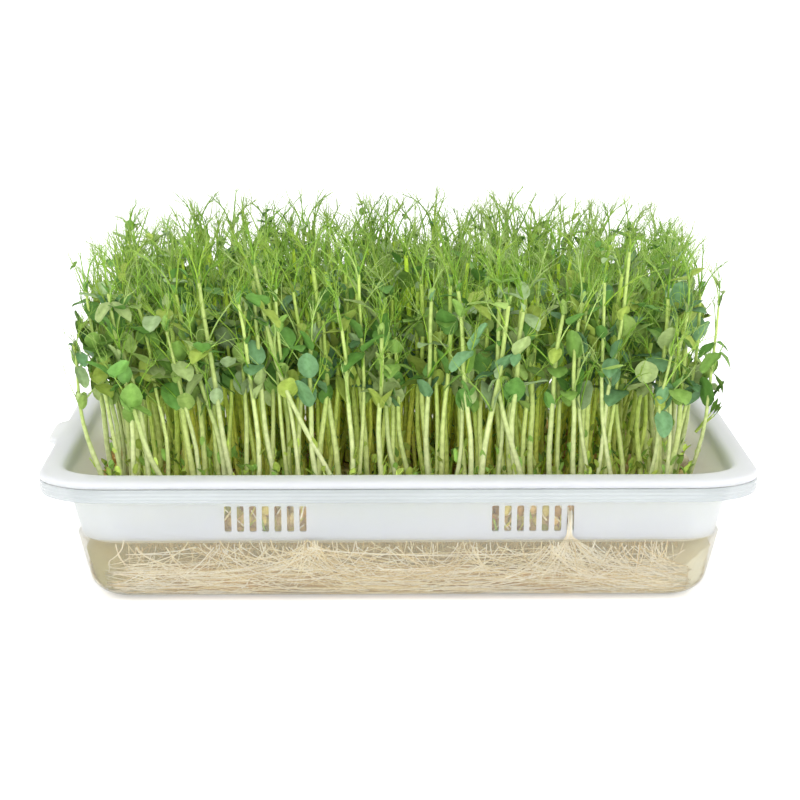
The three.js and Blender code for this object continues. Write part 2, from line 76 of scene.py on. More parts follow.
BED_TOP = 46.5
CELL_COLUMNS = 8
CELL_ROWS = 5
STAND_X = 144
STAND_Y = 99
CELL_HALF_Y = STAND_Y / CELL_ROWS
SPREAD_X = 0.00085
SPREAD_Y = 0.00075
SWAY = 4
END_DIP = 0.1
CELL_MARGIN = 0.5
CROWN_DRIFT = 3
FOOT_SPACING = 3.3
STEM_SUNK = 2
STEM_RADIUS = 1.5
TIP_RADIUS = 0.9
STEM_BOW = 2
SHOOT_LOW = 95
SHOOT_HIGH = 114
LOW_NODE = 0.5
HIGH_NODE = 0.77
TOP_NODE = 0.96
NODE_SHIFT = 0.08
NODE_HEIGHT = 0.024
HEAD_SHARE = 0.48
LEAN = 0.2
SPLAY = 0.2
BLADE_SHAPE = 0.64
BLADE_CUP = 4
LOW_LEAF = (16, 5)
HIGH_LEAF = (14, 5)
STALK = (24, 4)
TOP_TENDRIL = (22, 6)
STEM_TIP = (16, 8)
LEAF_RISE = (0.6, 0.4)
STALK_RISE = (0.9, 0.2)
TENDRIL_RISE = (0.75, 0.3)
TENDRIL_BEND = 0.25

# Sizes of the looks alone
CORNER_STEPS = 12
TAB_STEPS = 16
TAB_REACH = 1.15  # how far the tab's steps reach, in shares of TAB_HALF
TAB_SHOULDER = 0.85
TAB_SHARPNESS = 16
END_SHARES = (0, 0.5, 0.97)  # rings that close a shell, drawn in to its middle
EDGE_STEPS = 12
ARC_STEPS = 3
CUT_RADIUS = 0.8
CUT_STEPS = 3
# How far the tray's inner skin, the water, the root strands and their mat lie inside its outer
# skin: closer than in the CAD part, as refraction makes them look
SKIN = 0.6
WATER_INSET = 0.75
STRAND_INSET = 1.2
CORE_INSET = 1.55
WATER_DEPTH = 2.2
FILM_TOP = 31.6
BALL_STEPS = 6
BALL_SIDES = 8
BED_RADIUS = 16
PEA_PITCH = 7.3
PEA_ROW = 0.87
END_RISE = 9.5  # how much higher the root mat is at the tray's ends
LEAFLESS = 46  # no leaves on this much of a stem, above the bed
SMALL_LEAF = 8.5  # a leaf under this length has fewer faces
VEIN_GAIN = 1.22
CLASP = 0.12
LOW_BRACTS = (0.06, 0.14, 0.24)
# Low bracts' colours are lightened by this much: painted light in the shade near the bed
BRACT_PAINTED_LIGHT = 1.3
STEM_STEPS = 10
STEM_SIDES = 6
EDGE_BAND = 24  # shoots this near to the stand's edge have one more node
BETWEEN_X = 11.6
BETWEEN_Y = 12.4
UV_MARGIN = 0.12
# The camera, found from the photograph
SENSOR = 36
FOCAL_PIXELS = 2645
PICTURE_PIXELS = 800
CAMERA_DOWN = 10.74
CAMERA_ASIDE = -0.68

rng = np.random.default_rng(20)


# Colours, given as they look on screen
def linear(colour):
    c = np.array([int(colour[i : i + 2], 16) for i in (0, 2, 4)]) / 255
    return np.where(c <= 0.04045, c / 12.92, ((c + 0.055) / 1.055) ** 2.4)


def several(colours):
    return [linear(c) for c in colours.split()]


def drawn(low, high, count):
    return rng.uniform(low, high, (count, 1))


def picked(colours, count):
    return np.array(colours)[rng.integers(0, len(colours), count)]


def tint_of(colours):
    return colours[rng.integers(0, len(colours))] * rng.uniform(0.85, 1.12)


def any_way():
    return rng.uniform(0, 6.28)


STEM_PALE = linear("ECF0A4")
STEM_GREEN = linear("BCD268")
# Gains on the stems' colours: painted shade (dimmer, greyer) on stems at the stand's edge, painted
# light (brighter, greener) on stems deep inside the stand
STEM_EDGE_PAINTED_SHADE = np.array([0.93, 0.92, 1.3])
STEM_INSIDE_PAINTED_LIGHT = np.array([1.38, 1.5, 0.6])
LEAF_COLOURS = several("6C9A4A 789E4A 9CB482 A4B878 9AAE50 5E8A3E 84A852 6A9264 92AE5C")
BRACT_COLOURS = [STEM_GREEN, LEAF_COLOURS[4], LEAF_COLOURS[6]]
TENDRIL_COLOURS = [c * 0.92 for c in several("8CBA40 9CC252 80AE36 AECC70 96BA40")]
ROOT_COLOURS = several("FFF6DC F8E8BE FFFAEC E2C68E")
# Browner strands under the basket: partly the roots' own tone, partly painted shade under the
# basket's floor
DEEP_ROOT_AND_SHADE_COLOURS = several("DEB064 CC9A4C EACA8A B88E48")
MAT_COLOUR = linear("A88040")
MAT_LEFT_COLOUR = linear("968F5C")
MAT_RIGHT_COLOUR = linear("D6D4BE")
SPROUT_COLOURS = several("F0E0A8 D6CC50 A8BC3E E4BE80 F6ECCC")
SEED_COLOURS = several("DAB870 C0934C E2CC8E AE8644 A29C3E D2C068")
TRAY_COLOUR = linear("EEF2F1")


def placed(name, data):
    obj = bpy.data.objects.new(name, data)
    bpy.context.scene.collection.objects.link(obj)
    return obj


# A piece of the object: grids of points that become one mesh with colours and a UV map, in
# which every grid has a cell of its own
class Piece:
    def __init__(self):
        self.points, self.faces, self.uvs, self.cells, self.colours = [], [], [], [], []
        self.count = 0
        self.islands = 0

    def grids(self, points, colours, closed=True):
        """points: (grids, rows, columns, 3) in mm; closed joins the last column to the first"""
        total, rows, columns = points.shape[:3]
        at = np.arange(total * rows * columns).reshape(total, rows, columns) + self.count
        steps = columns if closed else columns - 1
        j = np.arange(steps)
        i = np.arange(rows - 1)
        near, far, beyond = at[:, :-1], at[:, 1:], (j + 1) % columns
        face = [near[..., j], near[..., beyond], far[..., beyond], far[..., j]]
        self.faces.append(np.stack(face, -1).reshape(-1, 4))
        u0, v0 = np.meshgrid(j / steps, i / (rows - 1))
        u1, v1 = u0 + 1 / steps, v0 + 1 / (rows - 1)
        corners = [np.stack(c, -1) for c in ((u0, v0), (u1, v0), (u1, v1), (u0, v1))]
        corner = np.stack(corners, 2).reshape(1, -1, 4, 2)
        self.uvs.append(np.repeat(corner, total, 0).reshape(-1, 4, 2))
        self.cells.append(np.repeat(np.arange(total) + self.islands, len(i) * steps))
        self.colours.append(np.broadcast_to(colours, points.shape).reshape(-1, 3))
        self.points.append(points.reshape(-1, 3))
        self.count += total * rows * columns
        self.islands += total

    def build(self, name, material, weld=False, sharp=None):
        points = np.concatenate(self.points) / 1000
        faces = np.concatenate(self.faces)
        mesh = bpy.data.meshes.new(name)
        mesh.vertices.add(len(points))
        mesh.vertices.foreach_set("co", points.astype(np.float32).ravel())
        mesh.loops.add(faces.size)
        mesh.loops.foreach_set("vertex_index", faces.astype(np.int32).ravel())
        mesh.polygons.add(len(faces))
        mesh.polygons.foreach_set("loop_start", np.arange(0, faces.size, 4, dtype=np.int32))
        mesh.update(calc_edges=True)
        side = math.ceil(math.sqrt(self.islands))
        cell = np.concatenate(self.cells)
        origin = np.stack([cell % side, cell // side], -1)[:, None, :]
        uv = (origin + UV_MARGIN + (1 - 2 * UV_MARGIN) * np.concatenate(self.uvs)) / side
        layer = mesh.uv_layers.new(name="OFBake")
        layer.uv.foreach_set("vector", uv.astype(np.float32).ravel())
        colour = mesh.attributes.new("tone", "FLOAT_COLOR", "POINT")
        rgba = np.concatenate([np.concatenate(self.colours), np.ones((len(points), 1))], 1)
        colour.data.foreach_set("color", rgba.astype(np.float32).ravel())
        if weld:
            bm = bmesh.new()
            bm.from_mesh(mesh)
            bmesh.ops.remove_doubles(bm, verts=bm.verts, dist=1e-6)
            bmesh.ops.dissolve_degenerate(bm, edges=bm.edges, dist=1e-7)
            bmesh.ops.recalc_face_normals(bm, faces=bm.faces)
            bm.to_mesh(mesh)
            bm.free()
        mesh.validate()
        mesh.shade_smooth()
        if sharp:
            mesh.set_sharp_from_angle(angle=math.radians(sharp))
        mesh.materials.append(material)
        return placed(name, mesh)


def unit(v):
    return v / np.maximum(np.linalg.norm(v, axis=-1, keepdims=True), 1e-9)


def tubes(paths, radii, sides):
    """(tubes, points, 3) and radii that broadcast to (tubes, points): closed grids of rings"""
    count, steps = paths.shape[:2]
    along = unit(np.gradient(paths, axis=1))
    first = along[:, 0]
    aside = np.where(np.abs(first[:, 2:]) > 0.7, [[1.0, 0, 0]], [[0, 0, 1.0]])
    u = unit(aside - (aside * first).sum(-1, keepdims=True) * first)
    frames = [u]
    for i in range(1, steps):
        t = along[:, i]
        u = unit(u - (u * t).sum(-1, keepdims=True) * t)
        frames.append(u)
    u = np.stack(frames, 1)
    v = np.cross(along, u)
    angle = np.arange(sides) * 2 * np.pi / sides
    ring = u[:, :, None] * np.cos(angle)[:, None] + v[:, :, None] * np.sin(angle)[:, None]
    radii = np.broadcast_to(radii, (count, steps))
    return paths[:, :, None] + ring * radii[:, :, None, None]


def curls(start, way, axis, turning, length, steps):
    """Paths that leave start along way and turn about axis, more and more towards the tip"""
    late = np.linspace(0, 1, steps)[1:] ** 1.6
    weight = late / late.sum()
    path, heading = [start], way
    for i in range(steps - 1):
        angle = (turning * weight[i])[:, None]
        cross = np.cross(axis, heading)
        dot = (axis * heading).sum(-1, keepdims=True)
        heading = heading * np.cos(angle) + cross * np.sin(angle) + axis * dot * (1 - np.cos(angle))
        path.append(path[-1] + heading * (length / (steps - 1))[:, None])
    return np.stack(path, 1)


def tapering(paths, low, high, sides):
    """Tubes whose radius goes from low to high"""
    share = np.linspace(0, 1, paths.shape[1])
    return tubes(paths, low[:, None] + (high - low)[:, None] * share, sides)


def blades(root, along, across, length, width, cup, curl, clasp, rows, columns):
    """Oval leaves: root, along and across are (leaves, 3), the others up to clasp (leaves,).
    A leaf that clasps its stem is broad at the base."""
    up = np.cross(along, across)
    u = 0.5 - 0.5 * np.cos(np.linspace(0, np.pi, rows))
    v = np.linspace(-1, 1, columns)
    half = 0.5 * np.abs(np.sin(np.pi * u**0.85)) ** 0.55
    half[0] = 0.05
    half[-1] = 0.03
    half = np.maximum(half, clasp[:, None] * (1 - u) ** 1.5)[:, :, None]
    flat = along[:, None, None] * (u[:, None] * length[:, None, None])[..., None]
    flat = flat + across[:, None, None] * (half * v * width[:, None, None])[..., None]
    fold = cup[:, None, None] * (half * np.abs(v)) ** 1.3
    wave = 0.035 * length[:, None, None] * np.sin(9 * u[:, None] + 5 * cup[:, None, None]) * v
    bend = wave - curl[:, None, None] * (u[:, None] ** 2) * np.ones(columns)
    return root[:, None, None] + flat + up[:, None, None] * (fold + bend)[..., None]


# Tray outlines and shells, as in the CAD part but with finer corners and edges
def corners(half_x, half_y, radius, steps):
    """A rounded rectangle, as the points of each of its corners"""
    found = []
    for corner, (sx, sy) in enumerate(((1, 1), (-1, 1), (-1, -1), (1, -1))):
        x, y = sx * (half_x - radius), sy * (half_y - radius)
        turns = [math.pi / 2 * (corner + k / steps) for k in range(steps + 1)]
        found.append([(x + radius * math.cos(t), y + radius * math.sin(t)) for t in turns])
    return found


def outline(out, z, tab=0.0):
    radius = FOOT_RADIUS + RADIUS_GROWTH * out
    found = corners(HALF_X + out, HALF_Y + out, radius, CORNER_STEPS)
    for k in range(TAB_STEPS + 1):
        share = TAB_REACH - k * (2 * TAB_REACH) / TAB_STEPS
        rise = 1 / (1 + math.exp(-(TAB_SHOULDER - abs(share)) * TAB_SHARPNESS))
        found[1].append((-(HALF_X + out) - tab * rise, share * TAB_HALF))
    return [(x, y, z) for corner in found for x, y in corner]


def wall_out(z, inset):
    return z * DRAFT - inset


def on_wall(z, inset):
    return wall_out(z, inset), z


def lower_edge(inset, centre_z, radius, steps, shrink=0.0):
    centre = wall_out(centre_z, inset) - radius / math.cos(DRAFT_ANGLE)
    found = []
    for k in range(steps + 1):
        turn = -math.pi / 2 + k / steps * (math.pi / 2 - DRAFT_ANGLE)
        r = radius - shrink
        found.append((centre + r * math.cos(turn), centre_z + r * math.sin(turn)))
    return found


def foot_edge(steps, inset=0.0):
    return lower_edge(0, FOOT_EDGE, FOOT_EDGE, steps, inset)


def shell(profile, closed_ends=True):
    """A skin of rings; where its ends are closed, they are drawn in to the middle"""
    rings = [np.array(outline(*p)) for p in profile]
    if closed_ends:
        drawn_in = [np.array([share, share, 1]) for share in END_SHARES]
        first = [rings[0] * share for share in drawn_in]
        rings = first + rings + [rings[-1] * share for share in drawn_in[::-1]]
    return np.array(rings)[None]


def rounded(points):
    """The profile with each corner that has a fourth number turned into an arc of that radius"""
    found = []
    for i, p in enumerate(points):
        if len(p) < 4:
            found.append(p)
            continue
        here, tab, radius = np.array(p[:2], float), p[2], p[3]
        before = unit(np.array(points[i - 1][:2]) - here)
        after = unit(np.array(points[(i + 1) % len(points)][:2]) - here)
        for k in range(ARC_STEPS + 1):
            t = k / ARC_STEPS
            q = here + before * radius * (1 - t) ** 2 + after * radius * t**2
            found.append((q[0], q[1], tab))
    return found


# Materials: one lone Principled shader each, coloured by procedural nodes
def give(node, values):
    for name, value in values.items():
        node.inputs[name].default_value = value


def noise(nodes, links, scale, detail):
    place = nodes.new("ShaderNodeTexCoord")
    grain = nodes.new("ShaderNodeTexNoise")
    give(grain, {"Scale": scale, "Detail": detail})
    links.new(place.outputs["Object"], grain.inputs["Vector"])
    return grain.outputs["Fac"]


def material(
    name, roughness, build, alpha=1.0, ior=1.45, bump=None, gloss=0.5, subsurface=0.0, depth=0.0015
):
    made = bpy.data.materials.new(name)
    made.use_nodes = True
    nodes, links = made.node_tree.nodes, made.node_tree.links
    shader = nodes["Principled BSDF"]
    give(shader, {"Roughness": roughness, "IOR": ior, "Alpha": alpha, "Specular IOR Level": gloss})
    if subsurface:
        give(shader, {"Subsurface Weight": subsurface, "Subsurface Radius": (1, 1, 0.8)})
        give(shader, {"Subsurface Scale": depth})
    build(nodes, links, shader)
    if bump:
        scale, strength, distance = bump
        lift = nodes.new("ShaderNodeBump")
        give(lift, {"Strength": strength, "Distance": distance})
        links.new(noise(nodes, links, scale, 4), lift.inputs["Height"])
        links.new(lift.outputs["Normal"], shader.inputs["Normal"])
    return made


def noise_ramp(nodes, links, scale, stops, colours):
    """Noise over the object, turned into a mix of two colours"""
    ramp = nodes.new("ShaderNodeValToRGB")
    for element, stop, colour in zip(ramp.color_ramp.elements, stops, colours):
        element.position = stop
        element.color = (*linear(colour), 1)
    links.new(noise(nodes, links, scale, 3), ramp.inputs["Fac"])
    return ramp.outputs["Color"]


def mottled(low, high, scale):
    """Two colours mixed by noise"""
    def build(nodes, links, shader):
        mixed = noise_ramp(nodes, links, scale, (0.35, 0.65), (low, high))
        links.new(mixed, shader.inputs["Base Color"])
    return build


def toned(scale, depth, dark):
    """The points' own colours, darkened in spots towards another colour"""
    def build(nodes, links, shader):
        tone = nodes.new("ShaderNodeAttribute")
        tone.attribute_name = "tone"
        spots = noise_ramp(nodes, links, scale, (0.3, 0.6), (dark, "FFFFFF"))
        mix = nodes.new("ShaderNodeMix")
        mix.data_type = "RGBA"
        mix.blend_type = "MULTIPLY"
        give(mix, {"Factor": depth})
        links.new(tone.outputs["Color"], mix.inputs["A"])
        links.new(spots, mix.inputs["B"])
        links.new(mix.outputs["Result"], shader.inputs["Base Color"])
    return build


clear_plastic = material("clear_plastic", 0.08, mottled("C6CECE", "D0D6D6", 12), alpha=0.09)
lip_plastic = material("clear_lip", 0.12, mottled("B3B9BB", "BDC3C5", 12), alpha=0.62)
white_plastic = material(
    "white_plastic",
    0.34,
    mottled("D5D9D5", "DADDD9", 9),
    bump=(260, 0.04, 0.0005),
    gloss=0.3,
    subsurface=0.9,
    depth=0.012,
)
water_look = material("water", 0.03, mottled("D4BC72", "C6AE62", 22), alpha=0.21, ior=1.33)
root_look = material("roots", 0.55, toned(70, 0.25, "C79F5E"), subsurface=0.1)
pea_look = material("peas", 0.5, toned(420, 0.4, "A0783C"), bump=(900, 0.3, 0.0004))
leaf_look = material("shoots", 0.5, toned(400, 0.4, "94AC60"), gloss=0.25, subsurface=0.2)


def finished(obj, nodes):
    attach(obj, "root")
    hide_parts(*nodes)


def random_from(seed):
    state = (seed * 7919 + 12345) % 4294967296

    def draw():
        nonlocal state
        state = (state * 1664525 + 1013904223) % 4294967296
        return state / 4294967296

    return draw


# Clear outer tray
def outer_tray():
    piece = Piece()
    profile = (
        foot_edge(EDGE_STEPS)
        + [on_wall(z, 0) for z in (30, 53.5, 57.4)]
        + [on_wall(57.4, WALL), on_wall(50, SKIN), on_wall(30, SKIN)]
        + foot_edge(EDGE_STEPS, SKIN)[::-1]
    )
    piece.grids(shell(profile), TRAY_COLOUR)
    obj = piece.build("tray_clear", clear_plastic, weld=True, sharp=40)
    finished(obj, ["outer_tray"])

    piece = Piece()
    lip = [
        (wall_out(57.6, 0), 57.6, 0.3),
        (22.4, 58.0, 0.5),
        (22.5, 53.2, 0.3),
        (23.7, 53.2, 0.4),
        (23.8, 54.6, 0.2),
        (24.3, 55.0, 0.3),
        (24.0, 56.2, 0.3),
        (24.5, 56.9, 0.3),
        (24.2, 58.0, 0.3),
        (24.5, 58.6, 0.3),
        (24.3, 59.7, 0.4),
        (14.0, 59.7, 0.6),
        (wall_out(57.6, WALL), 57.6, 0.3),
    ]
    profile = rounded([(out, z, 0, radius) for out, z, radius in lip])
    piece.grids(shell(profile + profile[:1], False), TRAY_COLOUR)
    obj = piece.build("tray_lip", lip_plastic, weld=True, sharp=50)
    finished(obj, ["outer_tray"])


# White basket
BASKET_INSET = WALL + NEST_GAP


def cutter(boxes):
    piece = Piece()
    for (cx, cy, cz), (sx, sy, sz), axis in boxes:
        ring = np.concatenate(corners(sx / 2, sz / 2, CUT_RADIUS, CUT_STEPS))
        grid = np.zeros((4, len(ring), 3))
        for row, (share, reach) in enumerate(((0, -1), (1, -1), (1, 1), (0, 1))):
            grid[row, :, 0] = cx + ring[:, 0] * share
            if axis == "y":
                grid[row, :, 2] = cz + ring[:, 1] * share
                grid[row, :, 1] = cy + reach * sy / 2
            else:
                grid[row, :, 1] = cy + ring[:, 1] * share
                grid[row, :, 2] = cz + reach * sy / 2
        piece.grids(grid[None], (0.9, 0.9, 0.9))
    return piece.build("cutter", white_plastic, weld=True)


def basket():
    piece = Piece()
    edge_z = BASKET_FLOOR + BASKET_EDGE
    profile = rounded(
        lower_edge(BASKET_INSET, edge_z, BASKET_EDGE, 8)
        + [
            on_wall(48, BASKET_INSET),
            on_wall(58.2, BASKET_INSET),
            (13.6, 60),
            (14.6, 62.8, 0, 1.0),
            (22.6, 62.3, TAB_OUT, 0.6),
            (22.9, 60, TAB_OUT),
            (24.2, 60, TAB_OUT, 0.2),
            (RIM_OUT + 0.1, 62.8, TAB_OUT, 1.8),
            (19.4, RIM_TOP + 0.2, 0.7 * TAB_OUT, 3.4),
            (13.2, 64.7, 0, 2.4),
            on_wall(58.8, BASKET_INSET + BASKET_WALL),
            on_wall(48, BASKET_INSET + BASKET_WALL),
        ]
        + lower_edge(BASKET_INSET, edge_z, BASKET_EDGE, 8, BASKET_WALL)[::-1]
    )
    piece.grids(shell(profile), linear("F2F5F6"))
    obj = piece.build("basket_white", white_plastic, weld=True)
    boxes = []
    for side, group in VENT_GROUPS:
        for k in range(VENTS):
            x = group + (k - (VENTS - 1) / 2) * VENT_PITCH
            middle = (x, side * (RIM_Y - 17), (VENT_HIGH + VENT_LOW) / 2)
            boxes.append((middle, (SLOT_WIDTH, 12, VENT_HIGH - VENT_LOW), "y"))
    for row in FLOOR_SLOT_ROWS:
        for k in range(FLOOR_SLOTS):
            x = (k - (FLOOR_SLOTS - 1) / 2) * FLOOR_SLOT_PITCH
            boxes.append(((x, row, BASKET_FLOOR + 0.8), (SLOT_WIDTH, 6, FLOOR_SLOT_LENGTH), "z"))
    knife = cutter(boxes)
    cut = obj.modifiers.new("vents", "BOOLEAN")
    cut.operation = "DIFFERENCE"
    cut.solver = "EXACT"
    cut.object = knife
    bpy.context.view_layer.update()
    graph = bpy.context.evaluated_depsgraph_get()
    done = bpy.data.meshes.new_from_object(obj.evaluated_get(graph))
    obj.modifiers.clear()
    obj.data = done
    bpy.data.objects.remove(knife)
    done.materials.clear()
    done.materials.append(white_plastic)
    done.shade_smooth()
    done.set_sharp_from_angle(angle=math.radians(32))
    finished(obj, ["basket"])


def skin_out(z, inset):
    """How far out the tray's skin is at the heights z, when it is drawn in by inset"""
    radius = FOOT_EDGE - inset
    centre = wall_out(FOOT_EDGE, 0) - FOOT_EDGE / math.cos(DRAFT_ANGLE)
    edge = centre + np.sqrt(np.maximum(radius**2 - (FOOT_EDGE - z) ** 2, 0))
    wall = z * DRAFT - inset / math.cos(DRAFT_ANGLE)
    return np.where(z < FOOT_EDGE - radius * math.sin(DRAFT_ANGLE), edge, wall)


# Water: a body round the roots
def water():
    piece = Piece()
    inset = WATER_INSET
    profile = (
        foot_edge(10, inset)
        + [on_wall(20, inset), on_wall(FILM_TOP, inset)]
        + [on_wall(31, inset + 0.7), on_wall(29, inset + 1.5)]
        + [on_wall(WATER_TOP - 0.3, inset + WATER_DEPTH)]
        + foot_edge(10, inset + WATER_DEPTH)[::-1]
    )
    piece.grids(shell(profile), linear("CFC4A0"))
    obj = piece.build("water_body", water_look, weld=True, sharp=50)
    finished(obj, ["water"])


# A ball of radius 1, for peas, a bubble and bits of seed coat
BALL_U = np.linspace(np.pi, 0, BALL_STEPS)[:, None]
BALL_V = np.arange(BALL_SIDES) * 2 * np.pi / BALL_SIDES
BALL_X, BALL_Y = np.sin(BALL_U) * np.cos(BALL_V), np.sin(BALL_U) * np.sin(BALL_V)
BALL = np.stack([BALL_X, BALL_Y, np.cos(BALL_U) + 0 * BALL_V], -1)[None]


# Seed bed: a rough mat under peas that lie close together
def seed_bed():
    piece = Piece()
    inset = BASKET_INSET + BASKET_WALL + 0.5
    rings = [
        (wall_out(BASKET_FLOOR + BASKET_EDGE, inset) - 5, 31.2),
        (wall_out(36, inset) - 3.6, 34.5),
        (wall_out(42.5, inset) - 3.4, 42.5),
    ]
    piece.grids(shell(rings), linear("C8A868"))
    spots = []
    for row in range(int(212 / (PEA_PITCH * PEA_ROW))):
        for column in range(int(304 / PEA_PITCH)):
            x = (column - 20.4) * PEA_PITCH + (row % 2) * PEA_PITCH / 2
            y = (row - 15.8) * PEA_PITCH * PEA_ROW
            jog = rng.uniform(-1.1, 1.1, 3)
            spots.append((x + jog[0], y + jog[1], 43.6 + 1.6 * jog[2]))
    for side, group in VENT_GROUPS:
        for layer in range(3):
            for k in range(9):
                x = group + (k - 4) * 6 + rng.uniform(-1.2, 1.2) + (layer % 2) * 3
                z = 34.6 + 5.4 * layer + rng.uniform(-0.8, 0.8)
                out = HALF_Y + wall_out(z, inset) - 3.9 - rng.uniform(0, 1.2)
                spots.append((x, side * out, z))
    spots = np.array(spots)
    limit_x = HALF_X + wall_out(44, inset) - 4.3
    limit_y = HALF_Y + wall_out(44, inset) - 4.0
    far_x, far_y = np.abs(spots[:, :2]).T
    keep = (far_x < limit_x) & (far_y < limit_y)
    corner = np.hypot(far_x - limit_x + BED_RADIUS, far_y - limit_y + BED_RADIUS)
    inside = (far_x < limit_x - BED_RADIUS) | (far_y < limit_y - BED_RADIUS)
    spots = spots[keep & (inside | (corner < BED_RADIUS))]
    count = len(spots)
    size = rng.uniform(3.3, 4.0, (count, 1, 1, 1))
    squeeze = rng.uniform(0.88, 1.04, (count, 1, 1, 3))
    belt = np.exp(-((BALL_U[..., None] - np.pi / 2) ** 2) * 3)
    side = 1 + np.cos(BALL_V + rng.uniform(0, 6, (count, 1, 1)))[..., None]
    peas = BALL * size * squeeze * (1 - 0.16 * belt * side * 0.5) + spots[:, None, None]
    tint = picked(SEED_COLOURS, count)
    tint = tint * drawn(0.85, 1.2, count)
    # Peas against the front and back walls, behind the vents, are lightened: painted light in the
    # shade there
    tint[np.abs(spots[:, 1]) > limit_y - 1.5] *= 1.25
    piece.grids(peas, tint[:, None, None])
    pale = np.array([(143, -14, 49.5), (122, -30, 48.5), (60, -92, 47.5), (-31, -93, 47.5)])
    piece.grids(BALL * (4.3, 4.0, 4.1) + pale[:, None, None], linear("F0E6CC"))

    def sprouts(group, side, count, t):
        x0 = group + drawn(-24, 24, count)
        z0 = drawn(34, 49, count)
        turn = drawn(0.7, 2.4, count)
        run = drawn(6, 15, count)
        x = x0 + run * np.cos(turn) * t
        z = np.clip(z0 + run * np.sin(turn) * (t - 0.5), 33.5, 50.5)
        y = HALF_Y + wall_out(z, inset) - 0.75
        return np.stack([x, side * y, z], -1)

    for side, group in VENT_GROUPS:
        count = 22 if side < 0 else 16
        paths = sprouts(group, side, count, np.linspace(0, 1, 6))
        tint = picked(SPROUT_COLOURS, count)
        piece.grids(tubes(paths, drawn(0.25, 0.6, count), 5), tint[:, None, None])
    finished(piece.build("pea_bed", pea_look), ["seed_bed"])


def evenly(grid, count):
    """The rings of a grid, each divided into count equal steps"""
    rings = []
    for ring in grid[0]:
        loop = np.vstack([ring, ring[:1]])
        run = np.concatenate([[0], np.cumsum(np.linalg.norm(np.diff(loop, axis=0), axis=1) + 1e-9)])
        at = np.linspace(0, run[-1], count, endpoint=False)
        rings.append(np.stack([np.interp(at, run, loop[:, i]) for i in range(3)], -1))
    return np.array(rings)[None]


